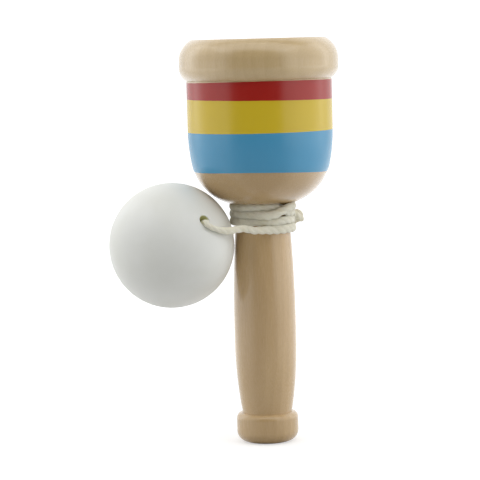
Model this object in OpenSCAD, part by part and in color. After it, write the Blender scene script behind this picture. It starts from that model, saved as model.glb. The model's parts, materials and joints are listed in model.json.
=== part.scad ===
// Cup and ball toy: a turned wooden cup on a turned handle, with a wooden ball tied to its neck.
// Millimetres. The origin is the middle of the foot's underside and +Z runs up the handle to the mouth.
// The photograph looks along +Y, so the ball hangs on the -X side.

/* [Cup] */
// Height of the cup from its seat on the handle to the top of its lip
cup_h = 53.6; // [51.6:0.2:57]
// Outer diameter of the straight wall
cup_d = 47.6; // [46.6:0.2:50]
// Outer diameter of the rolled rim
rim_d = 52.4; // [51.6:0.2:54]
// Diameter of the mouth, a little wider than the ball
mouth_d = 43.2; // [42.6:0.2:44]
// Depth of the mouth down to its round bottom
mouth_depth = 37; // [34:0.5:39]
// Radius of the round underside
bowl_r = 17; // [15.5:0.5:18]
// Height of the red band
red_h = 6.2; // [4:0.2:8]
// Height of the yellow band
yellow_h = 10.4; // [8:0.2:12]
// Height of the blue band
blue_h = 12.8; // [10:0.2:14]

/* [Handle] */
// Length of the handle from its foot to the cup's seat
handle_l = 79.8; // [76:0.2:96]
// Diameter of the neck that the cord is wound on
neck_d = 17.6; // [16.8:0.2:18.2]
// Diameter of the grip at its thickest
belly_d = 20.6; // [20:0.2:22]
// Height of the grip's thickest place above the foot's underside
belly_z = 36.3; // [32:0.1:42]
// Diameter at the bottom of the groove above the foot
groove_d = 16.6; // [15:0.2:17.4]
// Diameter of the foot
foot_d = 20.4; // [19:0.2:23]
// Height of the foot below the groove
foot_h = 9.8; // [8.6:0.2:12]
// Diameter of the tenon glued into the cup
tenon_d = 10; // [8:0.5:12]
// Length of the tenon
tenon_l = 9; // [6:0.5:11]

/* [Ball] */
// Diameter of the ball
ball_d = 41; // [39:0.2:42]
// How far the ball's middle hangs below the cup's seat
ball_drop = 13; // [13:0.2:18]
// Diameter of the hole for the cord
hole_d = 4; // [3.8:0.1:5]
// Depth of the recess for the knot behind the ball
recess_depth = 5.4; // [5:0.2:8]

/* [Cord] */
// Diameter of the cord as it lies drawn tight in the winding
cord_d = 1.9; // [1.6:0.1:2]
// Space between neighbouring turns
turn_gap = 0.45; // [0.43:0.01:0.5]
// Full turns round the neck before the last one leaves it
full_turns = 3; // [2:1:3]

/* [Hidden] */
$fn = 96;
wide_fn = 256;
// Neighbouring outlines overlap by this much
overlap = 1;
wood = [0.80, 0.66, 0.46];
red = [0.72, 0.12, 0.12];
yellow = [0.90, 0.76, 0.18];
blue = [0.25, 0.55, 0.75];
white = [0.93, 0.93, 0.90];
cotton = [0.90, 0.88, 0.80];

// Clearances: between pieces that move past each other, in the glued joint, and between ball and toy
moving_gap = 0.35;
glue_gap = 0.1;
ball_gap = 0.4;

// Cup: a wide arc draws the straight wall in, and the round underside takes over where it has turned
cup_r = cup_d / 2;
rim_r = rim_d / 2;
mouth_r = mouth_d / 2;
seat_z = handle_l;
top_z = seat_z + cup_h;
seat_cut = 1;
side_r = 60;
side_turn = 11;
side_z = seat_z - seat_cut + bowl_r + (side_r - bowl_r) * sin(side_turn);
turn_z = side_z - side_r * sin(side_turn);
bowl_x = cup_r - side_r + (side_r - bowl_r) * cos(side_turn);
bowl_z = seat_z - seat_cut + bowl_r;
mouth_ball_z = top_z - mouth_depth + mouth_r;
// Rim: a wide outer round that runs into a small round on the inner edge, and a smaller round below
rim_round = 7.9;
rim_under = 5;
lip_round = 0.3;
rim_round_x = rim_r - rim_round;
lip_x = mouth_r + lip_round;
lip_up = sqrt(pow(rim_round - lip_round, 2) - pow(lip_x - rim_round_x, 2));
rim_z = top_z - lip_up - lip_round;
lip_z = top_z - lip_round;
lip_end_x = rim_round_x + rim_round * (lip_x - rim_round_x) / (rim_round - lip_round);
rim_flat = 2.1;
rim_root = 2;
rim_low_z = rim_z - rim_flat;
// Painted bands, from just under the rim downwards
red_drop = 13.5;
red_top_z = top_z - red_drop;
red_low_z = red_top_z - red_h;
yellow_low_z = red_low_z - yellow_h;
blue_low_z = yellow_low_z - blue_h;
paint_t = 0.08;
paint_root = 1;
blue_root = 4;

// Winding: the cord comes in one level down and climbs to the top, where the second turn crosses over it
// on its way down to the second level. Each later turn falls by a level behind the neck.
cord_r = cord_d / 2;
pitch = cord_d + turn_gap;
wind_r = neck_d / 2 + moving_gap + cord_r;
wind_top_z = seat_z - moving_gap - cord_r;
wind_sides = 6;
wind_step = 15;
first_a = -20;
leave_a = -61;
wind_end = full_turns * 360 + first_a - leave_a;
wind_steps = round(wind_end / wind_step);
cross_w = 84;
cross_mid = 360 + cross_w / 2;
cross_out = pitch + 0.1;
over_half = 60;
over_w = 48;
back_from = 150;
back_w = 160;

// Handle: two wide arcs meet a short straight stretch at the belly
neck_r = neck_d / 2;
belly_r = belly_d / 2;
groove_r = groove_d / 2;
foot_r = foot_d / 2;
shoulder_step = 0.4;
shoulder_r = neck_r + shoulder_step;
below_turns = 0.55;
shoulder_z = wind_top_z - full_turns * pitch - cord_r - below_turns;
belly_flat = 4;
belly_low_z = belly_z - belly_flat / 2;
belly_high_z = belly_z + belly_flat / 2;
upper_drop = belly_r - shoulder_r;
upper_r = (pow(shoulder_z - belly_high_z, 2) + pow(upper_drop, 2)) / (2 * upper_drop);
groove_w = 0.6;
groove_z = foot_h + groove_w;
lower_drop = belly_r - groove_r;
lower_r = (pow(belly_low_z - groove_z, 2) + pow(lower_drop, 2)) / (2 * lower_drop);
foot_round = 3.6;
foot_top_round = 2;

// Ball: it hangs as close as the handle, the cup and the winding allow
ball_r = ball_d / 2;
ball_z = seat_z - ball_drop;
ball_y = -7.5;
grip_r = belly_r - upper_r + sqrt(pow(upper_r, 2) - pow(ball_z - belly_high_z, 2));
near_handle = ball_r + grip_r + ball_gap;
near_cup = bowl_x + sqrt(max(0, pow(ball_r + bowl_r + ball_gap, 2) - pow(bowl_z - ball_z, 2)));
side_fall = 0.1;
low_turn_z = wind_top_z - (full_turns - 1 + side_fall) * pitch;
near_winding = wind_r + sqrt(pow(ball_r + cord_r + ball_gap, 2) - pow(low_turn_z - ball_z, 2));
ball_reach = max(near_handle, near_cup, near_winding);
ball_c = [-sqrt(pow(ball_reach, 2) - pow(ball_y, 2)), ball_y, ball_z];
hole_az = -52;
hole_el = 26.7;
hole_n = [cos(hole_el) * cos(hole_az), cos(hole_el) * sin(hole_az), sin(hole_el)];

// Knots: two wraps of the cord side by side with a flat face at each end
knot_wrap = cord_r;
knot_slack = 0.2;
knot_ring = knot_wrap + knot_slack;
knot_half = 2 * knot_wrap;
knot_r = knot_ring + knot_wrap;
knot_room = 0.9;
recess_r = knot_r + knot_room;
knot_a = 32;
knot_far = wind_r + cord_r + knot_r + moving_gap;
knot_drop = 1.25;
knot_z = wind_top_z - knot_drop * pitch;
neck_tail_l = 3;
ball_tail_l = 0.8;

// The cord's way in from the knot: it passes between the second and the third level
enter_a = knot_a - 8;
link_steps = 9;
link_r = knot_far + 0.1;

// The cord's way out: straight off the last turn to the place where the lead can swing
run_off = 9.2;
run_steps = 3;
leave_p = [wind_r * cos(leave_a), wind_r * sin(leave_a), level_z(wind_end)];
leave_t = [sin(leave_a), -cos(leave_a), 0];
swing_p = leave_p + run_off * leave_t;

// Lead: it sags from the swing point to the ball, lies on it, bends round the hole's edge and runs through
lead_sides = 8;
lead_rise = 0.75;
lead_sag = 0.5;
hang_share = 0.7;
lie_az = -44;
lie_el = 16;
lie_n = [cos(lie_el) * cos(lie_az), cos(lie_el) * sin(lie_az), sin(lie_el)];
edge_z = sqrt(pow(ball_r, 2) - pow(hole_d / 2, 2));
across = unit(lie_n - (lie_n * hole_n) * hole_n);
edge_x = hole_d / 2;
edge_bow = cord_r + moving_gap;
lie_p = ball_c + (ball_r + edge_bow) * lie_n;
hang_p = swing_p + hang_share * (lie_p - swing_p) - [0, 0, lead_sag];
lead_knot_z = recess_depth - ball_r - moving_gap;
lead_route = concat(
    [swing_p, swing_p + 4 * leave_t + [0, 0, lead_rise], hang_p, lie_p],
    [for (turn = [62, 118, 170])
        at_edge(edge_x + edge_bow * cos(turn), edge_z + edge_bow * sin(turn))],
    [at_edge(0.2, edge_z - 3.4), at_edge(0, edge_z - 6), at_edge(0, 0), at_edge(0, lead_knot_z + cord_d),
     at_edge(0, lead_knot_z)]
);

// A point beside the hole: so far across its mouth towards the lead, and so far up its axis
function at_edge(x, up) = ball_c + x * across + up * hole_n;

function unit(v) = v / norm(v);
function smooth(t) = t <= 0 ? 0 : t >= 1 ? 1 : t * t * (3 - 2 * t);

// Height and radius of the winding's middle line after so many degrees
function level(a) = 1 - smooth(a / cross_w) + smooth((a - 360) / cross_w) + back_falls(a, full_turns - 1);
function back_falls(a, turn) =
    turn == 0 ? 0 : smooth((a - 360 * turn - back_from) / back_w) + back_falls(a, turn - 1);
function level_z(a) = wind_top_z - level(a) * pitch;
function turn_r(a) = wind_r + cross_out
    * (smooth((a - cross_mid + over_half) / over_w) - smooth((a - cross_mid - over_half + over_w) / over_w));

// The winding's middle line: the straight end at the knot, the way in, the turns, the straight way out
function round_neck(a, r, z) = [r * cos(a), r * sin(a), z];
knot_p = round_neck(knot_a, knot_far, knot_z);
knot_t = [sin(knot_a), -cos(knot_a), 0];
winding_route = concat(
    [knot_p, knot_p + cord_d * knot_t],
    [for (i = [1:link_steps])
        let (share = i / (link_steps + 1), enter = smooth(share))
        round_neck(enter_a + share * (first_a - enter_a), link_r + enter * (wind_r - link_r),
            knot_z + enter * (level_z(0) - knot_z))],
    [for (i = [0:wind_steps])
        let (a = i * wind_end / wind_steps)
        round_neck(first_a - a, turn_r(a), level_z(a))],
    [for (i = [1:run_steps]) leave_p + (run_off - cord_r - moving_gap) * i / run_steps * leave_t]
);

// Tube of triangles along a route, with a radius for each point
function ahead(route, i) =
    unit(route[min(i + 1, len(route) - 1)] - route[max(i - 1, 0)]);
function ring(p, t, r, sides) =
    let (side = unit(cross(t, [0, 0, 1])), up = cross(side, t))
    [for (k = [0:sides - 1]) p + r * (cos(360 * k / sides) * side + sin(360 * k / sides) * up)];
module tube(route, radii, sides) {
    count = len(route);
    rings = [for (i = [0:count - 1]) each ring(route[i], ahead(route, i), radii[i], sides)];
    skin = [
        for (i = [0:count - 2], k = [0:sides - 1])
            let (a = i * sides + k, b = i * sides + (k + 1) % sides)
            each [[a, a + sides, b], [b, a + sides, b + sides]]
    ];
    last = (count - 1) * sides;
    ends = [
        for (k = [1:sides - 2])
            each [[0, k, k + 1], [last, last + k + 1, last + k]]
    ];
    polyhedron(points = rings, faces = concat(skin, ends));
}

// Smooth curve through a route's points, so many steps to each
function curve(route, steps) = concat(
    [for (i = [0:len(route) - 2], s = [0:steps - 1])
        let (a = route[max(i - 1, 0)], b = route[i], c = route[i + 1],
            d = route[min(i + 2, len(route) - 1)], t = s / steps,
            square_part = 2 * a - 5 * b + 4 * c - d, cube_part = 3 * b - a - 3 * c + d)
        0.5 * (2 * b + (c - a) * t + square_part * t * t + cube_part * t * t * t)],
    [route[len(route) - 1]]
);

// The cup's straight wall, drawn-in side and round underside, thickened by a film
module side_outline(film) {
    square_from(0, side_z, cup_r + film, rim_low_z);
    intersection() {
        translate([cup_r - side_r, side_z]) circle(side_r + film, $fn = wide_fn);
        square_from(0, turn_z, cup_r + film, side_z + overlap);
    }
    intersection() {
        translate([bowl_x, bowl_z]) circle(bowl_r + film);
        square_from(0, seat_z, cup_r + film, turn_z + overlap);
    }
    square_from(0, seat_z, bowl_x, turn_z);
}

module rim_outline() {
    intersection() {
        translate([rim_round_x, rim_z]) circle(rim_round);
        square_from(lip_end_x, rim_z, rim_r, top_z);
    }
    translate([lip_x, lip_z]) circle(lip_round);
    square_from(mouth_r - rim_root, rim_z, lip_end_x, lip_z);
    square_from(mouth_r - rim_root, rim_low_z, rim_r, rim_z);
    translate([rim_r - rim_under, rim_low_z]) circle(rim_under);
}

module square_from(x0, y0, x1, y1) {
    translate([x0, y0]) square([x1 - x0, y1 - y0]);
}

module turned_cup() {
    difference() {
        rotate_extrude() {
            side_outline(0);
            rim_outline();
        }
        translate([0, 0, mouth_ball_z]) cylinder(r = mouth_r, h = mouth_depth);
        translate([0, 0, mouth_ball_z]) sphere(mouth_r);
        translate([0, 0, seat_z - overlap])
            cylinder(d = tenon_d + 2 * glue_gap, h = tenon_l + glue_gap + overlap);
    }
}

// A film of paint on the cup's side between two heights, sunk into the wood as far as a given radius
module painted(low_z, high_z, inner_r) {
    rotate_extrude() intersection() {
        side_outline(paint_t);
        square_from(inner_r, low_z, rim_r, high_z);
    }
}

module cup() {
    color(wood) turned_cup();
    color(red) painted(red_low_z, red_top_z, cup_r - paint_root);
    color(yellow) painted(yellow_low_z, red_low_z, cup_r - paint_root);
    color(blue) painted(blue_low_z, yellow_low_z, cup_r - blue_root);
}

module foot_outline() {
    square_from(0, 0, foot_r - foot_round, foot_h);
    square_from(0, foot_round, foot_r, foot_h - foot_top_round);
    square_from(0, foot_h - foot_top_round, foot_r - foot_top_round, foot_h);
    translate([foot_r - foot_round, foot_round]) circle(foot_round);
    translate([foot_r - foot_top_round, foot_h - foot_top_round]) circle(foot_top_round);
}

module handle() {
    color(wood) {
        rotate_extrude() {
            square_from(0, foot_h - overlap, groove_r, groove_z + overlap);
            square_from(0, shoulder_z - overlap, neck_r, seat_z);
            foot_outline();
            grip_outline();
        }
        cylinder(d = tenon_d, h = seat_z + tenon_l);
    }
}

module grip_outline() {
    intersection() {
        translate([belly_r - upper_r, belly_high_z]) circle(upper_r, $fn = wide_fn);
        square_from(0, belly_high_z - overlap, belly_r, shoulder_z);
    }
    square_from(0, belly_low_z, belly_r, belly_high_z);
    intersection() {
        translate([belly_r - lower_r, belly_low_z]) circle(lower_r, $fn = wide_fn);
        square_from(0, groove_z, belly_r, belly_low_z + overlap);
    }
}

// Turns a piece made along +Z so that it lies along the hole, with its zero at the ball's middle
module along_hole() {
    translate(ball_c) rotate([0, 90 - hole_el, hole_az]) children();
}

module ball() {
    color(white) along_hole() difference() {
        sphere(ball_r);
        cylinder(d = hole_d, h = 2 * ball_r, center = true);
        translate([0, 0, -ball_r - overlap]) cylinder(r = recess_r, h = recess_depth + overlap);
    }
}

module cord_winding() {
    color(cotton) tube(winding_route, [for (p = winding_route) cord_r], wind_sides);
}

// A knot with its first flat face at zero, along +Z
module knot(tail_l) {
    rotate_extrude() {
        square_from(0, 0, knot_ring, 2 * knot_half);
        for (z = [knot_wrap, 2 * knot_half - knot_wrap])
            translate([knot_ring, z]) circle(knot_wrap);
    }
    translate([0, 0, knot_half]) cylinder(r = cord_r, h = knot_half + tail_l);
}

module cord_knot() {
    color(cotton) translate(knot_p) rotate([0, 0, knot_a]) rotate([-90, 0, 0]) knot(neck_tail_l);
}

// The lead's first end is rounded, so that it can swing in front of the winding's end
module cord_lead() {
    body = curve(lead_route, 4);
    back = unit(body[0] - body[1]);
    cap = [for (a = [80, 60, 40, 20]) body[0] + cord_r * sin(a) * back];
    cap_r = [for (a = [80, 60, 40, 20]) cord_r * cos(a)];
    color(cotton) tube(concat(cap, body), concat(cap_r, [for (p = body) cord_r]), lead_sides);
}

module ball_knot() {
    color(cotton) along_hole() translate([0, 0, lead_knot_z]) mirror([0, 0, 1]) knot(ball_tail_l);
}

// Least gap of the winding to itself, between points at least half a turn apart along it
half_turn = 12;
self_gap = min([
    for (i = [0:len(winding_route) - 1 - half_turn], j = [i + half_turn:len(winding_route) - 1])
        norm(winding_route[i] - winding_route[j])
]) - cord_d;
echo(winding_self_gap = self_gap);
echo(ball_middle = ball_c, swing_point = swing_p, hole_axis = hole_n, knot_point = knot_p);

cup();
handle();
ball();
cord_winding();
cord_knot();
cord_lead();
ball_knot();
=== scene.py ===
"""Cup and ball toy: its finishes, its wound cotton cord and a small studio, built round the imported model."""

import json
import math

import bmesh
import bpy
from mathutils import Matrix, Vector


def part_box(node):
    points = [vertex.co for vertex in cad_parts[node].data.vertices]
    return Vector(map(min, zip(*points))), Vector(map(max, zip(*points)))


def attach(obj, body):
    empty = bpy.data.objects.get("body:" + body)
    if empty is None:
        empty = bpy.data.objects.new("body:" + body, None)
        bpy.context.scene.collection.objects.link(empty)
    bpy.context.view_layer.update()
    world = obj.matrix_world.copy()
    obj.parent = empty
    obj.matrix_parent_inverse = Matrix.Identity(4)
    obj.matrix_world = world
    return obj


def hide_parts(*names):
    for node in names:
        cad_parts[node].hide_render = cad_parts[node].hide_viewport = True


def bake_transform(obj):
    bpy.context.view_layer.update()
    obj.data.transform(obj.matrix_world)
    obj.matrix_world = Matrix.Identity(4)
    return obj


bl_info = {
    "name": "Cup and Ball Toy",
    "version": (1, 0, 0),
    "blender": (4, 5, 0),
    "location": "View3D > Sidebar > Cup and Ball",
    "description": "Finishes a turned cup and ball toy and winds its cord",
    "category": "Object",
}

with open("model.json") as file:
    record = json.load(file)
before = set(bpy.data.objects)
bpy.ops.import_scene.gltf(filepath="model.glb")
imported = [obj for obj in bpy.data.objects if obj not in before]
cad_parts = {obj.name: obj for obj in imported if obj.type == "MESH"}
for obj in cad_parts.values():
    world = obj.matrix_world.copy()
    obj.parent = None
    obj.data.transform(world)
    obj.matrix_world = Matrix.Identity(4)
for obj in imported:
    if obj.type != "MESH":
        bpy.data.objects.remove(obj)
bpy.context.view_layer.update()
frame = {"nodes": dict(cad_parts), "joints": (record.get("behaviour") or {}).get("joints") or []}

MM = 0.001
UP = Vector((0, 0, 1))

# Places that the model gives: the cup's seat and mouth, the swing point, the ball and its hole
JOINTS = {joint["name"]: joint for joint in frame["joints"]}
SEAT_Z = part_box("cup")[0].z
TOP_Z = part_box("cup")[1].z
SWING = Vector(JOINTS["lead_swing"]["pos_m"])
BALL_MIDDLE = Vector(JOINTS["ball_spin"]["pos_m"])
HOLE_AXIS = Vector(JOINTS["ball_spin"]["axis"]).normalized()
BALL_R = (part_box("ball")[1].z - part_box("ball")[0].z) / 2

# Winding: the radius that it lies on, the drop from turn to turn, and the top turn's height
NECK_R = 8.85 * MM
PITCH = 2.35 * MM
WIND_TOP_Z = SEAT_Z - 1.3 * MM

# Winding: its whole turns, the degrees round the neck where it starts and leaves, and its points' step
FULL_TURNS = 3
FIRST_ANGLE = -20
LEAVE_ANGLE = -61
WIND_END = FULL_TURNS * 360 + FIRST_ANGLE - LEAVE_ANGLE
WIND_STEP = 10

# Winding: degrees of travel where it climbs to the top, crosses over its start and falls behind the neck
CLIMB_FROM = 4
CROSS_FROM = 17
CROSS_WIDTH = 44
CROSS_MIDDLE = 360 + CROSS_FROM + CROSS_WIDTH / 2
BACK_FROM = 150
BACK_WIDTH = 160

# Winding: how far it stands out where it crosses over itself, and for how many degrees to each side
CROSS_OUT = 2.1 * MM
OVER_HALF = 60
OVER_WIDTH = 48

# Winding: how far one stretch nestles up to the turn above, in pitches, and its degrees of travel
NESTLE = 0.1
NESTLE_FROM = 705
NESTLE_WIDTH = 35

# Winding: share of its depth that the cord loses on the neck, and how long before its end it gets loose
PRESSED = 0.28
LOOSE_BEFORE_END = 230
LOOSE_WIDTH = 120

# Winding: small waves up and down, each with its height, its count in a turn and its start in radians
WAVES = (
    (0.05 * MM, 2.3, 0.8),
    (0.04 * MM, 5.1, 0.0),
)

# Knot at the neck: its place and how tightly it is drawn.
# Its tail's points are given in millimetres back, out and down from it.
KNOT_ANGLE = 36
KNOT_R = 13.1 * MM
KNOT_Z = WIND_TOP_Z - 2.15 * PITCH
KNOT_PULL = 0.88
TAIL_POINTS = (
    (2.6, 0.5, 0.7),
    (1.2, 0.0, 0.2),
)

# Link from that knot to the winding: its first angle and its points.
# The last two say how fast it nears the neck and swells.
LINK_ANGLE = 12
LINK_STEPS = 9
LINK_NEARS = 1.5
LINK_SWELLS = 2

# Lead: it rises off the winding, sags to the ball, lies on it and bends round the hole's edge
RUN_STEP = 2 * MM
LEAD_OUT = 4 * MM
LEAD_RISE = 0.75 * MM
LEAD_SAG = 0.55 * MM
HANG_SHARE = 0.68
LIE_BEARING = -45.5
LIE_RISE = 17.5
EDGE_BOW = 1.02 * MM
EDGE_TURN = -45
EDGE_BENDS = (78, 124, 170)

# Ball: its hole, and the recess behind with its floor, measured along the hole's axis
HOLE_R = 1.75 * MM
HOLE_EDGE_Z = math.sqrt(BALL_R ** 2 - HOLE_R ** 2)
RECESS_R = 3 * MM
RECESS_DEPTH = 5.4 * MM
RECESS_Z = RECESS_DEPTH - BALL_R

# Cord in the hole: how far it first lies aside, and the depths where it does, is centred and runs straight
ASIDE = 0.2 * MM
ASIDE_DEPTH = 3.4 * MM
CENTRED_DEPTH = 6 * MM
STRAIGHT_DEPTH = 8 * MM

# Knot behind the ball: its gap to the recess's floor, and on to its middle in cord diameters
BALL_KNOT_GAP = 0.2 * MM
BALL_KNOT_BACK = 1.4

# An overhand knot drawn tight, in cord diameters: along the pull, to the side and up.
# This is one half from its middle outwards. The other half is the same, turned half round the side axis.
KNOT_HALF = (
    (-0.3, -0.75, -0.8),
    (-0.7, -0.1, -1.25),
    (-0.9, 0.6, -0.95),
    (-0.85, 0.95, -0.3),
    (-0.4, 0.75, 0.3),
    (0.15, 0.25, 0.45),
    (0.8, -0.1, 0.3),
    (1.6, -0.2, 0.15),
    (2.3, -0.1, 0.0),
)
KNOT_MIDDLE = (0, -0.9, 0)
KNOT_REACH = KNOT_HALF[-1][0]

# Twist of the cord: its strands, and their middles' distance from the cord's for a radius of 1
STRANDS = 3
STRAND_OFFSET = 0.3
YARN_MAP = "yarn"

# Pores of the wood under its varnish
PORE_DEPTH = 0.03 * MM
PORE_STRENGTH = 0.4

# End grain and painted shade under the cup: how far they darken the wood, and their tint on the deep wood
END_GRAIN_AND_SHADE = 0.85
END_GRAIN_AND_SHADE_TINT = (0.94, 0.93, 0.87)

# Painted bands: how soft their edges are, where a sagging edge is highest, and how patchy the paint is.
# The top edge leans and sags by its own shares, and the lowest edge is lifted.
EDGE_SOFT = 0.04 * MM
SAG_MIDDLE = -5 * MM
PATCHY = 0.06
TOP_LEAN = -0.5
TOP_SAG = 0.3
BLUE_LIFT = 0.25 * MM

# Cup's wall: the radius halfway through it, the heights in which that limit grows from 0, and its softness
WALL_R = 22.6 * MM
WALL_LOW_Z = SEAT_Z + 4.2 * MM
WALL_FULL_Z = SEAT_Z + 25.2 * MM
WALL_SOFT = 0.1 * MM

# Camera: where it stands, what it looks at, and the degrees by which the toy's top leans to the left
CAMERA_EYE = Vector((-7.604, -680, 133)) * MM
CAMERA_AIM = Vector((-7.604, 0, 67.226)) * MM
CAMERA_LEAN = 1.533

# Lamps: their distance from the toy's middle, in metres
LAMP_DISTANCE = 0.62


def smooth(share):
    """A soft step from 0 to 1."""
    share = min(1, max(0, share))
    return share * share * (3 - 2 * share)


def round_neck(angle, radius, height):
    """A point beside the neck, by its angle in degrees."""
    turn = math.radians(angle)
    return Vector((radius * math.cos(turn), radius * math.sin(turn), height))


def turn_level(travel):
    """How many levels below the top the winding lies after so many degrees."""
    fallen = 1 - smooth((travel - CLIMB_FROM) / CROSS_WIDTH)
    fallen += smooth((travel - 360 - CROSS_FROM) / CROSS_WIDTH)
    nestled = (travel - NESTLE_FROM) / NESTLE_WIDTH
    fallen -= NESTLE * (smooth(nestled) - smooth(nestled - 1))
    for turn in range(1, FULL_TURNS):
        fallen += smooth((travel - 360 * turn - BACK_FROM) / BACK_WIDTH)
    return fallen


def turn_point(travel, thick):
    """A point of the winding's middle line after so many degrees, for a cord of such a radius."""
    rise = smooth((travel - CROSS_MIDDLE + OVER_HALF) / OVER_WIDTH)
    drop = smooth((travel - CROSS_MIDDLE - OVER_HALF + OVER_WIDTH) / OVER_WIDTH)
    reach = NECK_R + (1 - PRESSED) * thick + CROSS_OUT * (rise - drop)
    return round_neck(FIRST_ANGLE - travel, reach, WIND_TOP_Z - turn_level(travel) * PITCH)


def overhand(middle, along, side, thick):
    """The middle line of an overhand knot that is pulled along one direction."""
    up = along.cross(side)

    def spot(ahead, aside, above):
        """A point of the knot, in cord diameters from its middle."""
        return middle + thick * (ahead * along + aside * side + above * up)

    half = [spot(ahead, aside, above) for ahead, aside, above in KNOT_HALF]
    other = [spot(-ahead, aside, -above) for ahead, aside, above in KNOT_HALF]
    return other[::-1] + [spot(*KNOT_MIDDLE)] + half


def smooth_line(points, steps):
    """A smooth line through points, so many steps to each."""
    line = []
    last = len(points) - 1
    for i in range(last):
        before, here = points[max(i - 1, 0)], points[i]
        there, after = points[i + 1], points[min(i + 2, last)]
        square_part = 2 * before - 5 * here + 4 * there - after
        cube_part = 3 * here - before - 3 * there + after
        for step in range(steps):
            share = step / steps
            spot = 2 * here + (there - before) * share
            spot += square_part * share * share
            spot += cube_part * share * share * share
            line.append(0.5 * spot)
    line.append(points[last])
    return line


class CordRoute:
    """Points that a cord runs through, each with the cord's radius and how flat it is pressed there."""

    def __init__(self):
        self.points = []
        self.shapes = []

    def add(self, points, radius, flat=0.0):
        """Runs on through points at one radius and flatness."""
        self.points.extend(points)
        self.shapes.extend([Vector((radius, flat, 0))] * len(points))

    def even(self, step):
        """The smooth line and its shapes at even steps."""
        fine = 12
        line = smooth_line(self.points, fine)
        shapes = smooth_line(self.shapes, fine)
        spots, met = [line[0]], [shapes[0]]
        ahead = step
        for i in range(len(line) - 1):
            start, stretch = line[i], line[i + 1] - line[i]
            length = stretch.length
            while ahead <= length:
                share = ahead / length
                spots.append(start + share * stretch)
                met.append(shapes[i].lerp(shapes[i + 1], share))
                ahead += step
            ahead -= length
        return spots, met


class WoodSettings(bpy.types.PropertyGroup):
    """The turned wood of the cup and the handle."""

    pale: bpy.props.FloatVectorProperty(
        name="Pale wood", description="Colour of the early wood", subtype="COLOR",
        default=(0.63, 0.44, 0.222), min=0, max=1,
    )
    deep: bpy.props.FloatVectorProperty(
        name="Deep wood", description="Colour of the late wood and the fibres", subtype="COLOR",
        default=(0.49, 0.32, 0.147), min=0, max=1,
    )
    cup_tint: bpy.props.FloatVectorProperty(
        name="Cup tint", description="Colour of the cup's wood against the handle's", subtype="COLOR",
        default=(0.99, 1.06, 1.09), min=0, max=2,
    )
    ring_width: bpy.props.FloatProperty(
        name="Ring width", description="Width of a growth ring, in millimetres", default=3.2, min=0.5,
    )
    gloss: bpy.props.FloatProperty(
        name="Varnish roughness", description="Roughness of the satin varnish", subtype="FACTOR",
        default=0.25, min=0, max=1,
    )


class BandSettings(bpy.types.PropertyGroup):
    """The three painted bands of the cup, from the top down."""

    red: bpy.props.FloatVectorProperty(
        name="Red", description="Colour of the upper band", subtype="COLOR",
        default=(0.38, 0.010, 0.004), min=0, max=1,
    )
    yellow: bpy.props.FloatVectorProperty(
        name="Yellow", description="Colour of the middle band", subtype="COLOR",
        default=(0.67, 0.485, 0.017), min=0, max=1,
    )
    blue: bpy.props.FloatVectorProperty(
        name="Blue", description="Colour of the lower band", subtype="COLOR",
        default=(0.058, 0.312, 0.535), min=0, max=1,
    )
    drop: bpy.props.FloatProperty(
        name="Drop", description="From the lip down to the red band", unit="LENGTH", default=13.5 * MM,
    )
    red_height: bpy.props.FloatProperty(
        name="Red height", description="Height of the red band", unit="LENGTH", default=6.2 * MM,
    )
    yellow_height: bpy.props.FloatProperty(
        name="Yellow height", description="Height of the yellow band", unit="LENGTH", default=10.4 * MM,
    )
    blue_height: bpy.props.FloatProperty(
        name="Blue height", description="Height of the blue band", unit="LENGTH", default=12.8 * MM,
    )
    lean: bpy.props.FloatProperty(
        name="Lean", description="How much the edge between red and yellow falls to the right",
        default=0.016,
    )
    sag: bpy.props.FloatProperty(
        name="Sag", description="How much the lowest edge falls towards both sides, per metre",
        default=1.6,
    )


class BallSettings(bpy.types.PropertyGroup):
    """The painted ball."""

    white: bpy.props.FloatVectorProperty(
        name="White", description="Colour of the ball's paint", subtype="COLOR",
        default=(0.84, 0.85, 0.81), min=0, max=1,
    )
    bare: bpy.props.FloatVectorProperty(
        name="Bare wood", description="Colour of the raw wood in the hole", subtype="COLOR",
        default=(0.93, 0.92, 0.5), min=0, max=1,
    )
    edge_round: bpy.props.FloatProperty(
        name="Edge round", description="Radius of the paint's round at the hole", unit="LENGTH",
        default=0.3 * MM,
    )


class CordSettings(bpy.types.PropertyGroup):
    """The twisted cotton cord."""

    colour: bpy.props.FloatVectorProperty(
        name="Cotton", description="Colour of the cotton", subtype="COLOR",
        default=(0.912, 0.882, 0.73), min=0, max=1,
    )
    diameter: bpy.props.FloatProperty(
        name="Diameter", description="Diameter of the slack cord", unit="LENGTH", default=2.5 * MM,
    )
    wound_radius: bpy.props.FloatProperty(
        name="Wound radius", description="Radius of the cord in the winding", unit="LENGTH",
        default=1.44 * MM,
    )
    last_radius: bpy.props.FloatProperty(
        name="Last radius", description="Radius of the loose last turn", unit="LENGTH",
        default=1.58 * MM,
    )
    last_drop: bpy.props.FloatProperty(
        name="Last drop", description="How far the loose last turn hangs down", unit="LENGTH",
        default=0.3 * MM,
    )
    hole_radius: bpy.props.FloatProperty(
        name="Hole radius", description="Radius of the cord where the ball's hole holds it", unit="LENGTH",
        default=0.92 * MM,
    )
    neck_knot: bpy.props.FloatProperty(
        name="Neck knot", description="Diameter of the cord in the knot at the neck", unit="LENGTH",
        default=2.0 * MM,
    )
    ball_knot: bpy.props.FloatProperty(
        name="Ball knot", description="Diameter of the cord in the knot behind the ball", unit="LENGTH",
        default=1.6 * MM,
    )
    lay: bpy.props.FloatProperty(
        name="Lay", description="Length of one turn of the twist", unit="LENGTH", default=8.5 * MM,
    )


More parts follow.
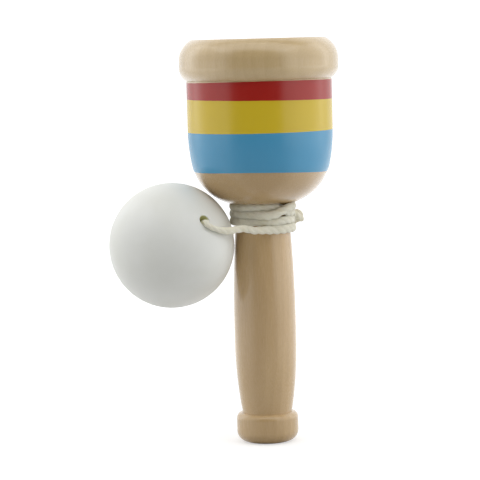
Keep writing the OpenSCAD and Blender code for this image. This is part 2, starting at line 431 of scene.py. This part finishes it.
class StudioSettings(bpy.types.PropertyGroup):
    """Lamps and camera."""

    left_power: bpy.props.FloatProperty(
        name="Left lamp", description="Power of the left lamp, in watts", default=3.9, min=0,
    )
    right_power: bpy.props.FloatProperty(
        name="Right lamp", description="Power of the right lamp, in watts", default=5.0, min=0,
    )
    top_power: bpy.props.FloatProperty(
        name="Top lamp", description="Power of the top lamp, in watts", default=2.35, min=0,
    )
    lens: bpy.props.FloatProperty(
        name="Lens", description="Focal length, in millimetres", default=154.97, min=1,
    )


class ToySettings(bpy.types.PropertyGroup):
    """All the toy's settings."""

    wood: bpy.props.PointerProperty(type=WoodSettings, name="Wood", description="Turned wood")
    bands: bpy.props.PointerProperty(type=BandSettings, name="Bands", description="Painted bands")
    ball: bpy.props.PointerProperty(type=BallSettings, name="Ball", description="Painted ball")
    cord: bpy.props.PointerProperty(type=CordSettings, name="Cord", description="Cotton cord")
    studio: bpy.props.PointerProperty(type=StudioSettings, name="Studio", description="Lamps and camera")


class Nodes:
    """A short way to lay out the nodes of a material or a world."""

    # Sockets of a mix node that mixes colours
    MIX_FACTOR = 0
    MIX_FIRST = 6
    MIX_SECOND = 7
    MIX_RESULT = 2

    def __init__(self, tree):
        self.tree = tree
        tree.nodes.clear()

    def add(self, kind, options=None, **sockets):
        """A node with its options and sockets set. A socket is given a value or another node's output."""
        made = self.tree.nodes.new(kind)
        for name, value in (options or {}).items():
            setattr(made, name, value)
        for name, value in sockets.items():
            self.plug(made.inputs[name.replace("_", " ")], value)
        return made

    def plug(self, socket, value):
        """Links a socket to an output, or sets its value."""
        if isinstance(value, bpy.types.NodeSocket):
            self.tree.links.new(value, socket)
        else:
            socket.default_value = value

    def plug_all(self, made, values):
        """Fills a node's first sockets in their order."""
        for socket, value in zip(made.inputs, values):
            self.plug(socket, value)
        return made

    def math(self, operation, *numbers, clamp=False):
        """The result of a sum on numbers."""
        made = self.add("ShaderNodeMath", {"operation": operation, "use_clamp": clamp})
        return self.plug_all(made, numbers).outputs[0]

    def vector(self, operation, *vectors):
        """The vector that a sum on vectors gives."""
        made = self.add("ShaderNodeVectorMath", {"operation": operation})
        return self.plug_all(made, vectors).outputs["Vector"]

    def length(self, vector):
        """The length of a vector."""
        made = self.add("ShaderNodeVectorMath", {"operation": "LENGTH"})
        return self.plug_all(made, [vector]).outputs["Value"]

    def axis_distance(self, place):
        """The distance from the Z axis."""
        return self.length(self.vector("MULTIPLY", place, (1, 1, 0)))

    def parts(self, vector):
        """The X, Y and Z of a vector."""
        return self.add("ShaderNodeSeparateXYZ", Vector=vector).outputs

    def mix(self, factor, first, second):
        """A colour between two colours."""
        made = self.add("ShaderNodeMix", {"data_type": "RGBA"})
        self.plug(made.inputs[self.MIX_FACTOR], factor)
        self.plug(made.inputs[self.MIX_FIRST], first)
        self.plug(made.inputs[self.MIX_SECOND], second)
        return made.outputs[self.MIX_RESULT]

    def step(self, value, low, high, to_low=0.0, to_high=1.0):
        """A soft step of a value between two limits."""
        made = self.add("ShaderNodeMapRange", {"interpolation_type": "SMOOTHSTEP"})
        return self.plug_all(made, (value, low, high, to_low, to_high)).outputs[0]

    def scaled(self, vector, scale, shift=(0, 0, 0), turn=(0, 0, 0)):
        """A vector scaled, turned and shifted."""
        made = self.add("ShaderNodeMapping", Vector=vector, Scale=scale, Location=shift, Rotation=turn)
        return made.outputs[0]

    def noise(self, place, cells, detail=2.0, roughness=0.5, turn=(0, 0, 0)):
        """Noise with so many cells to a unit along X, Y and Z."""
        vector = self.scaled(place, cells, turn=turn)
        made = self.add("ShaderNodeTexNoise", Vector=vector, Scale=1.0, Detail=detail, Roughness=roughness)
        return made.outputs[0]

    def object_place(self):
        """Places on the piece, in metres."""
        return self.add("ShaderNodeTexCoord").outputs["Object"]

    def bump(self, height, depth, strength):
        """A normal from a height of so many metres."""
        return self.add("ShaderNodeBump", Height=height, Distance=depth, Strength=strength).outputs[0]

    def surface(self, colour, roughness, normal, **sockets):
        """The finished surface and the material's output."""
        shader = self.add(
            "ShaderNodeBsdfPrincipled", Base_Color=colour, Roughness=roughness, Normal=normal, **sockets,
        )
        self.add("ShaderNodeOutputMaterial", Surface=shader.outputs[0])


def opaque(colour):
    """A colour with its alpha."""
    return (*colour, 1.0)


def tinted(colour, tint):
    """A colour times a tint, with its alpha."""
    return opaque([share * times for share, times in zip(colour, tint)])


def dimmed(colour, share):
    """A colour times one share, with its alpha."""
    return tinted(colour, (share,) * 3)


def new_material(name):
    """An empty material and its nodes."""
    made = bpy.data.materials.new(name)
    made.use_nodes = True
    return made, Nodes(made.node_tree)


def wood_grain(nodes, wood, pith, lean, tint=(1, 1, 1)):
    """Solid turned wood with its heart beside the piece: colour, height of its pores, and roughness."""
    place = nodes.scaled(nodes.object_place(), (1 / MM,) * 3, shift=pith, turn=lean)
    drift = nodes.noise(place, cells=(0.035, 0.035, 0.009), detail=3.0).node.outputs["Color"]
    drift_middle, drift_reach = (0.5, 0.5, 0.5), (14, 14, 0)
    shift = nodes.vector("SUBTRACT", drift, drift_middle)
    bent = nodes.vector("MULTIPLY_ADD", shift, drift_reach, place)
    ring = nodes.math("FRACT", nodes.math("DIVIDE", nodes.axis_distance(bent), wood.ring_width))
    ring_swells = nodes.step(ring, low=0.15, high=0.9)
    ring_ends = nodes.step(ring, low=0.94, high=1.0, to_low=1.0, to_high=0.0)
    late = nodes.math("MULTIPLY", ring_swells, ring_ends)
    fibre = nodes.noise(place, cells=(7, 7, 0.22), detail=3.0, roughness=0.6)
    fleck = nodes.step(nodes.noise(place, cells=(2.6, 2.6, 0.42), detail=1.0), low=0.66, high=0.74)
    cloud = nodes.noise(place, cells=(0.09, 0.09, 0.035))
    base_tone, late_tone, fleck_tone = 0.1, 0.16, 0.2
    tone = nodes.math("MULTIPLY_ADD", late, late_tone, base_tone)
    tone = nodes.math("ADD", tone, nodes.step(fibre, low=0.3, high=0.75, to_high=0.26))
    tone = nodes.math("ADD", tone, nodes.step(cloud, low=0.3, high=0.7, to_low=-0.1, to_high=0.22))
    tone = nodes.math("ADD", tone, nodes.math("MULTIPLY", fleck, fleck_tone), clamp=True)
    colour = nodes.mix(tone, tinted(wood.pale, tint), tinted(wood.deep, tint))
    fleck_depth = 0.8
    height = nodes.math("SUBTRACT", fibre, nodes.math("MULTIPLY", fleck, fleck_depth))
    roughness = nodes.step(fibre, low=0.2, high=0.8, to_low=wood.gloss - 0.04, to_high=wood.gloss + 0.08)
    return colour, height, roughness


def handle_material(settings):
    """Satin varnished wood for the handle."""
    made, nodes = new_material("handle_turned_wood")
    colour, height, roughness = wood_grain(nodes, settings.wood, pith=(38, 52, 0), lean=(0.03, 0.02, 0))
    pores = nodes.bump(height, PORE_DEPTH, PORE_STRENGTH)
    nodes.surface(colour, roughness, pores, Coat_Weight=0.55, Coat_Roughness=0.17)
    return made


def band_edge(nodes, parts, height, lean=0.0, sag=0.0):
    """1 above an edge of paint and 0 below it. The edge leans to one side and sags towards both."""
    across = nodes.math("SUBTRACT", parts["X"], SAG_MIDDLE)
    level = nodes.math("ADD", parts["Z"], nodes.math("MULTIPLY", parts["X"], lean))
    level = nodes.math("ADD", level, nodes.math("MULTIPLY", nodes.math("MULTIPLY", across, across), sag))
    return nodes.step(level, height - EDGE_SOFT, height + EDGE_SOFT)


def outside_wall(nodes, place):
    """1 on the cup's outside and 0 in its bore and bowl, which lie nearer to the axis."""
    limit = nodes.step(nodes.parts(place)["Z"], WALL_LOW_Z, WALL_FULL_Z, to_high=WALL_R)
    past = nodes.math("SUBTRACT", nodes.axis_distance(place), limit)
    return nodes.step(past, -WALL_SOFT, WALL_SOFT)


def cup_material(settings):
    """Satin varnished wood with the three painted bands."""
    made, nodes = new_material("cup_wood_and_bands")
    bands = settings.bands
    wood = settings.wood
    wood_colour, height, roughness = wood_grain(
        nodes, wood, pith=(-64, 30, 40), lean=(-0.02, 0.03, 0.4), tint=wood.cup_tint,
    )
    place = nodes.object_place()
    wander = nodes.noise(place, cells=(260, 260, 30))
    wander_height = (0, 0, 0.12 * MM)
    uneven = nodes.vector("MULTIPLY_ADD", wander, wander_height, place)
    parts = nodes.parts(uneven)
    red_top = TOP_Z - bands.drop
    red_low = red_top - bands.red_height
    yellow_low = red_low - bands.yellow_height
    blue_low = yellow_low - bands.blue_height + BLUE_LIFT
    over_red = band_edge(nodes, parts, red_top, lean=TOP_LEAN * bands.lean, sag=TOP_SAG * bands.sag)
    over_yellow = band_edge(nodes, parts, red_low, lean=bands.lean)
    over_blue = band_edge(nodes, parts, yellow_low)
    over_bare = band_edge(nodes, parts, blue_low, sag=bands.sag)
    streaks = nodes.noise(place, cells=(420, 420, 60), detail=3.0)
    patchy = nodes.step(streaks, low=0.3, high=0.7, to_high=PATCHY)
    red, yellow, blue = (
        nodes.mix(patchy, opaque(paint), dimmed(paint, share=0.8))
        for paint in (bands.red, bands.yellow, bands.blue)
    )
    # Below the blue band the wood is darker: end grain, and painted shade on the cup's underside
    below = nodes.mix(END_GRAIN_AND_SHADE, wood_colour, tinted(wood.deep, END_GRAIN_AND_SHADE_TINT))
    colour = nodes.mix(over_bare, below, blue)
    colour = nodes.mix(over_blue, colour, yellow)
    colour = nodes.mix(over_yellow, colour, red)
    colour = nodes.mix(over_red, colour, wood_colour)
    outside = outside_wall(nodes, place)
    colour = nodes.mix(outside, wood_colour, colour)
    painted = nodes.math("MULTIPLY", outside, nodes.math("SUBTRACT", over_bare, over_red))
    bare = nodes.math("SUBTRACT", 1.0, painted)
    relief = nodes.math("MULTIPLY", height, nodes.step(bare, low=0.0, high=1.0, to_low=0.04))
    satin = nodes.step(patchy, 0.0, PATCHY, to_low=wood.gloss - 0.01, to_high=wood.gloss + 0.02)
    bare_roughness = nodes.math("MULTIPLY", roughness, bare)
    paint_roughness = nodes.math("MULTIPLY", satin, painted)
    nodes.surface(
        colour, nodes.math("ADD", bare_roughness, paint_roughness),
        nodes.bump(relief, PORE_DEPTH, PORE_STRENGTH), Coat_Roughness=0.26,
        Coat_Weight=nodes.step(bare, low=0.0, high=1.0, to_low=0.05, to_high=0.9),
    )
    return made


def ball_paint(settings):
    """Satin white paint."""
    made, nodes = new_material("ball_white_paint")
    place = nodes.object_place()
    cloud = nodes.noise(place, cells=(90, 90, 90), detail=4.0)
    grain = nodes.noise(place, cells=(260, 1400, 260), detail=3.0, turn=(0.4, 0.3, 0.9))
    white = settings.ball.white
    clouded = nodes.step(cloud, low=0.35, high=0.75, to_high=0.6)
    colour = nodes.mix(clouded, opaque(white), tinted(white, tint=(0.94, 0.94, 0.91)))
    roughness = nodes.step(cloud, low=0.3, high=0.7, to_low=0.40, to_high=0.50)
    nodes.surface(colour, roughness, nodes.bump(grain, depth=0.02 * MM, strength=0.35))
    return made


def ball_bare_wood(settings):
    """The raw wood in the ball's hole and recess."""
    made, nodes = new_material("ball_bare_wood")
    fibre = nodes.noise(nodes.object_place(), cells=(2600, 2600, 500), detail=3.0)
    raw = settings.ball.bare
    colour = nodes.mix(nodes.step(fibre, low=0.3, high=0.7), opaque(raw), dimmed(raw, share=0.78))
    roughness = nodes.step(fibre, low=0.3, high=0.7, to_low=0.7, to_high=0.85)
    nodes.surface(colour, roughness, nodes.bump(fibre, depth=0.08 * MM, strength=0.8))
    return made


def cotton_material(settings):
    """Soft twisted cotton: fine yarns along each strand, and a pale sheen of fibres."""
    made, nodes = new_material("cord_cotton")
    parts = nodes.parts(nodes.add("ShaderNodeUVMap", {"uv_map": YARN_MAP}).outputs[0])
    yarns_along, yarns_round = 520.0, 18.0
    along = nodes.math("MULTIPLY", parts["X"], yarns_along)
    slanted = nodes.math("ADD", along, nodes.math("MULTIPLY", parts["Y"], yarns_round))
    ply = nodes.math("SINE", nodes.math("MULTIPLY", slanted, 2 * math.pi))
    place = nodes.object_place()
    fuzz = nodes.noise(place, cells=(5200, 5200, 5200), detail=4.0, roughness=0.65)
    wear = nodes.noise(place, cells=(300, 300, 300))
    ply_height, fuzz_height = 0.3, 1.2
    fuzzy = nodes.math("MULTIPLY", fuzz, fuzz_height)
    height = nodes.math("ADD", nodes.math("MULTIPLY", ply, ply_height), fuzzy)
    base = settings.cord.colour
    shade = nodes.mix(nodes.step(fuzz, low=0.25, high=0.7), dimmed(base, share=0.84), opaque(base))
    worn = nodes.step(wear, low=0.4, high=0.75, to_high=0.35)
    colour = nodes.mix(worn, shade, tinted(base, tint=(0.9, 0.87, 0.78)))
    roughness = nodes.step(fuzz, low=0.2, high=0.8, to_low=0.85, to_high=0.98)
    nodes.surface(
        colour, roughness, nodes.bump(height, depth=0.08 * MM, strength=0.8),
        Sheen_Weight=0.3, Sheen_Roughness=0.5, Specular_IOR_Level=0.2, Subsurface_Weight=0.6,
        Subsurface_Radius=(1, 1, 1), Subsurface_Scale=1.5 * MM,
    )
    return made


def new_object(name, data):
    """An object in the scene, at the origin."""
    made = bpy.data.objects.new(name, data)
    bpy.context.scene.collection.objects.link(made)
    return made


def finished_mesh(bm, name):
    """A smooth-shaded mesh from a bmesh, which is then freed."""
    mesh = bpy.data.meshes.new(name)
    for face in bm.faces:
        face.smooth = True
    bm.to_mesh(mesh)
    bm.free()
    return mesh


def dress_node(name, material):
    """Gives a part of the model its finish."""
    slots = frame["nodes"][name].data.materials
    slots.clear()
    slots.append(material)


def arc(middle, radius, start, end, steps):
    """Points of an arc in a plane, between two angles in degrees."""
    turns = [math.radians(start + (end - start) * i / steps) for i in range(steps + 1)]
    return [(middle[0] + radius * math.cos(turn), middle[1] + radius * math.sin(turn)) for turn in turns]


def hole_frame():
    """The turn that lays the Z axis along the ball's hole."""
    return Matrix.Translation(BALL_MIDDLE) @ HOLE_AXIS.to_track_quat("Z", "Y").to_matrix().to_4x4()


def ball_profile(edge_round):
    """The ball's outline with rounded edges: distance from its hole's axis and height along it."""
    edge_steps, ball_steps, hole_steps = 5, 72, 4
    inner = HOLE_R + edge_round
    inner_z = math.sqrt((BALL_R - edge_round) ** 2 - inner ** 2)
    outer = RECESS_R + edge_round
    outer_z = math.sqrt((BALL_R - edge_round) ** 2 - outer ** 2)
    top_turn = math.degrees(math.atan2(inner_z, inner))
    low_turn = math.degrees(math.atan2(-outer_z, outer))
    points = arc((inner, inner_z), edge_round, 180, top_turn, edge_steps)
    points += arc((0, 0), BALL_R, top_turn, low_turn, ball_steps)[1:-1]
    points += arc((outer, -outer_z), edge_round, low_turn, -180, edge_steps)
    points += [(RECESS_R, RECESS_Z), (HOLE_R, RECESS_Z)]
    hole_depth = inner_z - RECESS_Z
    points += [(HOLE_R, RECESS_Z + i / hole_steps * hole_depth) for i in range(1, hole_steps)]
    return points


def slanted_height(place):
    """Height along a slanted line, on which no two corners or faces of the ball are level."""
    return place.x + math.sqrt(2) * place.y + math.sqrt(3) * place.z


class CUPBALL_OT_finish_cup(bpy.types.Operator):
    """Varnishes the cup and paints its three bands"""

    bl_idname = "cup_ball.finish_cup"
    bl_label = "Finish Cup"

    def execute(self, context):
        dress_node("cup", cup_material(context.scene.cup_ball))
        return {"FINISHED"}


class CUPBALL_OT_finish_handle(bpy.types.Operator):
    """Varnishes the handle"""

    bl_idname = "cup_ball.finish_handle"
    bl_label = "Finish Handle"

    def execute(self, context):
        dress_node("handle", handle_material(context.scene.cup_ball))
        return {"FINISHED"}


class CUPBALL_OT_turn_ball(bpy.types.Operator):
    """Turns the ball with its drilled hole and paints it"""

    bl_idname = "cup_ball.turn_ball"
    bl_label = "Turn Ball"

    def execute(self, context):
        settings = context.scene.cup_ball
        edge_round = settings.ball.edge_round
        bm = bmesh.new()
        outline = [bm.verts.new((x, 0, z)) for x, z in ball_profile(edge_round)]
        edges = [bm.edges.new((outline[i - 1], outline[i])) for i in range(len(outline))]
        bmesh.ops.spin(
            bm, geom=outline + edges, axis=UP, cent=(0, 0, 0), dvec=(0, 0, 0), angle=2 * math.pi, steps=96,
            use_merge=True,
        )
        bmesh.ops.remove_doubles(bm, verts=bm.verts, dist=0.001 * MM)
        bmesh.ops.recalc_face_normals(bm, faces=bm.faces)
        for face in bm.faces:
            inside = face.calc_center_median().length < BALL_R - 2 * edge_round
            face.material_index = int(inside)
        # Spin leaves corners and faces in an order that differs from run to run
        bm.verts.sort(key=lambda vert: slanted_height(vert.co))
        bm.faces.sort(key=lambda face: slanted_height(face.calc_center_median()))
        bmesh.ops.transform(bm, matrix=hole_frame(), verts=bm.verts)
        ball = new_object("wooden_ball", finished_mesh(bm, "wooden_ball"))
        ball.data.materials.append(ball_paint(settings))
        ball.data.materials.append(ball_bare_wood(settings))
        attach(ball, "ball")
        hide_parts("ball")
        return {"FINISHED"}


def add_neck_knot(route, cord):
    """The tail and the knot beside the neck."""
    radius = cord.neck_knot / 2
    turn = math.radians(KNOT_ANGLE)
    ahead = Vector((math.sin(turn), -math.cos(turn), 0))
    outward = Vector((math.cos(turn), math.sin(turn), 0))
    middle = round_neck(KNOT_ANGLE, KNOT_R, KNOT_Z)
    tied = overhand(middle, ahead, outward, KNOT_PULL * cord.neck_knot)
    for back, out, down in TAIL_POINTS:
        route.add([tied[0] - back * MM * ahead + out * MM * outward - down * MM * UP], radius)
    route.add(tied, radius)


def add_link(route, cord):
    """The short run from the knot to the winding."""
    knot_radius = cord.neck_knot / 2
    wound_reach = NECK_R + (1 - PRESSED) * cord.wound_radius
    wound_z = turn_point(0, cord.wound_radius).z
    for i in range(1, LINK_STEPS + 1):
        share = i / (LINK_STEPS + 1)
        near = smooth(LINK_NEARS * share)
        reach = KNOT_R + near * (wound_reach - KNOT_R)
        height = KNOT_Z + near * (wound_z - KNOT_Z)
        spot = round_neck(LINK_ANGLE + share * (FIRST_ANGLE - LINK_ANGLE), reach, height)
        swell = smooth(LINK_SWELLS * share) * (cord.wound_radius - knot_radius)
        route.add([spot], knot_radius + swell, near * PRESSED)


def add_winding(route, cord):
    """The turns round the neck. The last one is loose, so it is thicker and hangs lower."""
    count = round(WIND_END / WIND_STEP)
    for i in range(count + 1):
        travel = i * WIND_END / count
        loose = smooth((travel - WIND_END + LOOSE_BEFORE_END) / LOOSE_WIDTH)
        sway = sum(rise * math.sin(math.radians(waves * travel) + start) for rise, waves, start in WAVES)
        sway -= loose * cord.last_drop
        thick = cord.wound_radius + loose * (cord.last_radius - cord.wound_radius)
        route.add([turn_point(travel, thick) + sway * UP], thick, PRESSED)


def add_lead(route, cord):
    """The lead from the winding over the ball and into its hole."""
    slack = cord.diameter / 2
    leave = turn_point(WIND_END, cord.last_radius) - cord.last_drop * UP
    run = SWING - leave
    count = round(run.length / RUN_STEP)
    for i in range(1, count + 1):
        share = i / count
        thick = cord.last_radius + smooth(share) * (slack - cord.last_radius)
        route.add([leave + share * run], thick, (1 - smooth(share)) * PRESSED)
    hanging, lying = lead_points(run.normalized())
    route.add(hanging, slack)
    route.add(lying, cord.hole_radius)


def lead_points(leave):
    """The lead from the swing point to the ball, and on round the hole's edge into the hole."""
    lie = math.radians(LIE_RISE)
    rests = round_neck(LIE_BEARING, math.cos(lie), math.sin(lie))
    across = (rests - rests.dot(HOLE_AXIS) * HOLE_AXIS).normalized()
    across.rotate(Matrix.Rotation(math.radians(EDGE_TURN), 3, HOLE_AXIS))
    lies = BALL_MIDDLE + (BALL_R + EDGE_BOW) * rests
    hangs = SWING + HANG_SHARE * (lies - SWING) - LEAD_SAG * UP
    hanging = [SWING + LEAD_OUT * leave + LEAD_RISE * UP, hangs]
    lying = [lies]
    for turn in EDGE_BENDS:
        bend = math.radians(turn)
        beside = HOLE_R + EDGE_BOW * math.cos(bend)
        lying.append(BALL_MIDDLE + beside * across + (HOLE_EDGE_Z + EDGE_BOW * math.sin(bend)) * HOLE_AXIS)
    lying.append(BALL_MIDDLE + ASIDE * across + (HOLE_EDGE_Z - ASIDE_DEPTH) * HOLE_AXIS)
    lying.append(BALL_MIDDLE + (HOLE_EDGE_Z - CENTRED_DEPTH) * HOLE_AXIS)
    return hanging, lying


def add_ball_knot(route, cord):
    """The straight run through the ball, and the knot in the recess behind it."""
    knot_middle = RECESS_Z - BALL_KNOT_GAP - BALL_KNOT_BACK * cord.ball_knot
    depth = HOLE_EDGE_Z - STRAIGHT_DEPTH
    while depth > knot_middle + KNOT_REACH * cord.ball_knot + RUN_STEP:
        route.add([BALL_MIDDLE + depth * HOLE_AXIS], cord.hole_radius)
        depth -= RUN_STEP
    side = HOLE_AXIS.cross(UP).normalized()
    tied = overhand(BALL_MIDDLE + knot_middle * HOLE_AXIS, -HOLE_AXIS, side, cord.ball_knot)
    route.add(tied, cord.ball_knot / 2)


def cord_route(cord):
    """The whole cord from its tail beside the neck to its tail behind the ball."""
    route = CordRoute()
    for add_stretch in (add_neck_knot, add_link, add_winding, add_lead, add_ball_knot):
        add_stretch(route, cord)
    return route


def strand_outline(turn):
    """Distance from the cord's middle to the skin of its strands, for an outer radius of 1."""
    swing = math.pi / STRANDS
    lean = (turn + swing) % (2 * swing) - swing
    thick = 1 - STRAND_OFFSET
    return STRAND_OFFSET * math.cos(lean) + math.sqrt(thick ** 2 - (STRAND_OFFSET * math.sin(lean)) ** 2)


def rope_frames(line):
    """Directions to the side and up at each point, which turn as little as they can."""
    frames = []
    side = None
    for i in range(len(line)):
        ahead = (line[min(i + 1, len(line) - 1)] - line[max(i - 1, 0)]).normalized()
        if side is None:
            side = ahead.orthogonal().normalized()
        side = (side - side.dot(ahead) * ahead).normalized()
        frames.append((side, ahead.cross(side)))
    return frames


class CUPBALL_OT_wind_cord(bpy.types.Operator):
    """Lays the cord from its knot round the neck and through the ball"""

    bl_idname = "cup_ball.wind_cord"
    bl_label = "Wind Cord"

    def execute(self, context):
        settings = context.scene.cup_ball
        cord = settings.cord
        step = 0.28 * MM
        line, shapes = cord_route(cord).even(step)
        frames = rope_frames(line)
        sides = 24
        rings = len(line) - 1
        bm = bmesh.new()
        bm.loops.layers.uv.new(YARN_MAP)
        bmesh.ops.create_grid(bm, x_segments=rings, y_segments=sides, size=1, calc_uvs=True)
        for vert in bm.verts:
            ring = round((vert.co.x + 1) / 2 * rings)
            turn = math.pi * (vert.co.y + 1)
            side, up = frames[ring]
            radius, flat, _ = shapes[ring]
            reach = radius * strand_outline(turn)
            twist = turn + 2 * math.pi * ring * step / cord.lay
            skin = reach * (math.cos(twist) * side + math.sin(twist) * up)
            outward = Vector((line[ring].x, line[ring].y, 0)).normalized()
            vert.co = line[ring] + skin - flat * skin.dot(outward) * outward
        bmesh.ops.remove_doubles(bm, verts=bm.verts, dist=0.0005 * MM)
        bmesh.ops.holes_fill(bm, edges=[edge for edge in bm.edges if edge.is_boundary], sides=0)
        bmesh.ops.recalc_face_normals(bm, faces=bm.faces)
        rope = new_object("cotton_cord", finished_mesh(bm, "cotton_cord"))
        rope.data.materials.append(cotton_material(settings))
        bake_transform(rope)
        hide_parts("cord_winding", "cord_knot", "cord_lead", "ball_knot")
        return {"FINISHED"}


def floor_material():
    """Pale floor with a soft shadow, white far off. Its front is dim where the toy mirrors it."""
    made, nodes = new_material("studio_floor")
    ray = nodes.add("ShaderNodeLightPath").outputs
    plain = nodes.add("ShaderNodeBsdfDiffuse", Color=(0.58, 0.58, 0.58, 1))
    place = nodes.object_place()
    away = nodes.length(place)
    bearing = nodes.parts(nodes.vector("NORMALIZE", place))
    behind = nodes.step(bearing["Y"], low=-0.95, high=-0.4, to_high=0.9)
    mirrored = nodes.math("MULTIPLY", ray["Is Glossy Ray"], behind)
    mirrored = nodes.math("MULTIPLY", mirrored, nodes.step(away, low=0.05, high=0.2, to_low=0.5))
    lift = nodes.step(away, low=0.1, high=0.35, to_low=0.54)
    seen = nodes.math("MULTIPLY", ray["Is Camera Ray"], lift)
    glow = nodes.math("MAXIMUM", seen, mirrored)
    white = nodes.add("ShaderNodeEmission", Color=(1, 1, 1, 1), Strength=glow)
    both = nodes.plug_all(nodes.add("ShaderNodeAddShader"), (plain.outputs[0], white.outputs[0]))
    nodes.add("ShaderNodeOutputMaterial", Surface=both.outputs[0])
    return made


def light_world(world):
    """White backdrop for the camera. Other rays find it behind the toy, and a dim room in front."""
    world.use_nodes = True
    nodes = Nodes(world.node_tree)
    ray = nodes.add("ShaderNodeLightPath").outputs
    bearing = nodes.parts(nodes.add("ShaderNodeTexCoord").outputs["Generated"])
    room = nodes.step(bearing["Y"], low=0.1, high=0.45, to_low=0.05, to_high=1.2)
    level = nodes.math("MAXIMUM", room, ray["Is Camera Ray"])
    shader = nodes.add("ShaderNodeBackground", Color=(1, 1, 1, 1), Strength=level)
    nodes.add("ShaderNodeOutputWorld", Surface=shader.outputs[0])


def add_lamp(name, place, target, width, height, power):
    """A soft lamp that faces a target."""
    lamp = bpy.data.lights.new(name, "AREA")
    lamp.shape = "RECTANGLE"
    lamp.size = width
    lamp.size_y = height
    lamp.energy = power
    made = new_object(name, lamp)
    made.location = place
    made.rotation_euler = (target - place).to_track_quat("-Z", "Y").to_euler()


class CUPBALL_OT_set_studio(bpy.types.Operator):
    """Sets the floor, the lamps, the white backdrop and the camera"""

    bl_idname = "cup_ball.set_studio"
    bl_label = "Set Studio"

    def execute(self, context):
        studio = context.scene.cup_ball.studio
        bm = bmesh.new()
        bmesh.ops.create_grid(bm, x_segments=8, y_segments=8, size=2.5)
        floor = new_object("studio_floor", finished_mesh(bm, "studio_floor"))
        floor.data.materials.append(floor_material())
        target = Vector((0, 0, TOP_Z / 2))
        # Each lamp's bearing and rise are in degrees, and its width and height in metres
        for name, bearing, rise, width, height, power in (
            ("left_lamp", -86, 8, 1.04, 1.25, studio.left_power),
            ("right_lamp", 76, 8, 1.08, 1.25, studio.right_power),
            ("top_lamp", -12, 72, 1.1, 0.45, studio.top_power),
        ):
            turn, lift = math.radians(bearing), math.radians(rise)
            aside = math.cos(lift) * Vector((math.sin(turn), -math.cos(turn), 0))
            place = target + LAMP_DISTANCE * (aside + math.sin(lift) * UP)
            add_lamp(name, place, target, width, height, power)
        if context.scene.world is None:
            context.scene.world = bpy.data.worlds.new("studio")
        light_world(context.scene.world)
        self.set_camera(context, studio)
        context.scene.view_settings.view_transform = "Standard"
        return {"FINISHED"}

    def set_camera(self, context, studio):
        """Puts the camera where the photograph was taken from, tilted so that the toy leans a little."""
        lean = math.radians(CAMERA_LEAN)
        ahead = (CAMERA_AIM - CAMERA_EYE).normalized()
        right = ahead.cross(UP).normalized()
        top = right.cross(ahead)
        tilted_right = math.cos(lean) * right - math.sin(lean) * top
        tilted_top = math.sin(lean) * right + math.cos(lean) * top
        lens = bpy.data.cameras.new("camera")
        lens.lens = studio.lens
        lens.sensor_width = 36
        lens.clip_start = 0.01
        camera = new_object("camera", lens)
        turn = Matrix((tilted_right, tilted_top, -ahead)).transposed()
        camera.matrix_world = Matrix.Translation(CAMERA_EYE) @ turn.to_4x4()
        context.scene.camera = camera


OPERATORS = (
    CUPBALL_OT_set_studio,
    CUPBALL_OT_wind_cord,
    CUPBALL_OT_finish_cup,
    CUPBALL_OT_finish_handle,
    CUPBALL_OT_turn_ball,
)


class CUPBALL_PT_panel(bpy.types.Panel):
    """Lists the toy's steps and settings"""

    bl_idname = "CUPBALL_PT_panel"
    bl_label = "Cup and Ball"
    bl_space_type = "VIEW_3D"
    bl_region_type = "UI"
    bl_category = "Cup and Ball"

    def draw(self, context):
        for step in OPERATORS:
            self.layout.operator(step.bl_idname)
        toy = context.scene.cup_ball
        for group in (toy.wood, toy.bands, toy.ball, toy.cord, toy.studio):
            box = self.layout.box()
            for key in type(group).__annotations__:
                box.prop(group, key)


CLASSES = (
    WoodSettings,
    BandSettings,
    BallSettings,
    CordSettings,
    StudioSettings,
    ToySettings,
    *OPERATORS,
    CUPBALL_PT_panel,
)


def register():
    for kind in CLASSES:
        bpy.utils.register_class(kind)
    bpy.types.Scene.cup_ball = bpy.props.PointerProperty(
        type=ToySettings, name="Cup and ball", description="Settings of the cup and ball toy",
    )


def unregister():
    del bpy.types.Scene.cup_ball
    for kind in reversed(CLASSES):
        bpy.utils.unregister_class(kind)


def main():
    register()
    bpy.ops.cup_ball.set_studio()
    bpy.ops.cup_ball.wind_cord()
    bpy.ops.cup_ball.finish_cup()
    bpy.ops.cup_ball.finish_handle()
    bpy.ops.cup_ball.turn_ball()


if __name__ == "__main__":
    main()
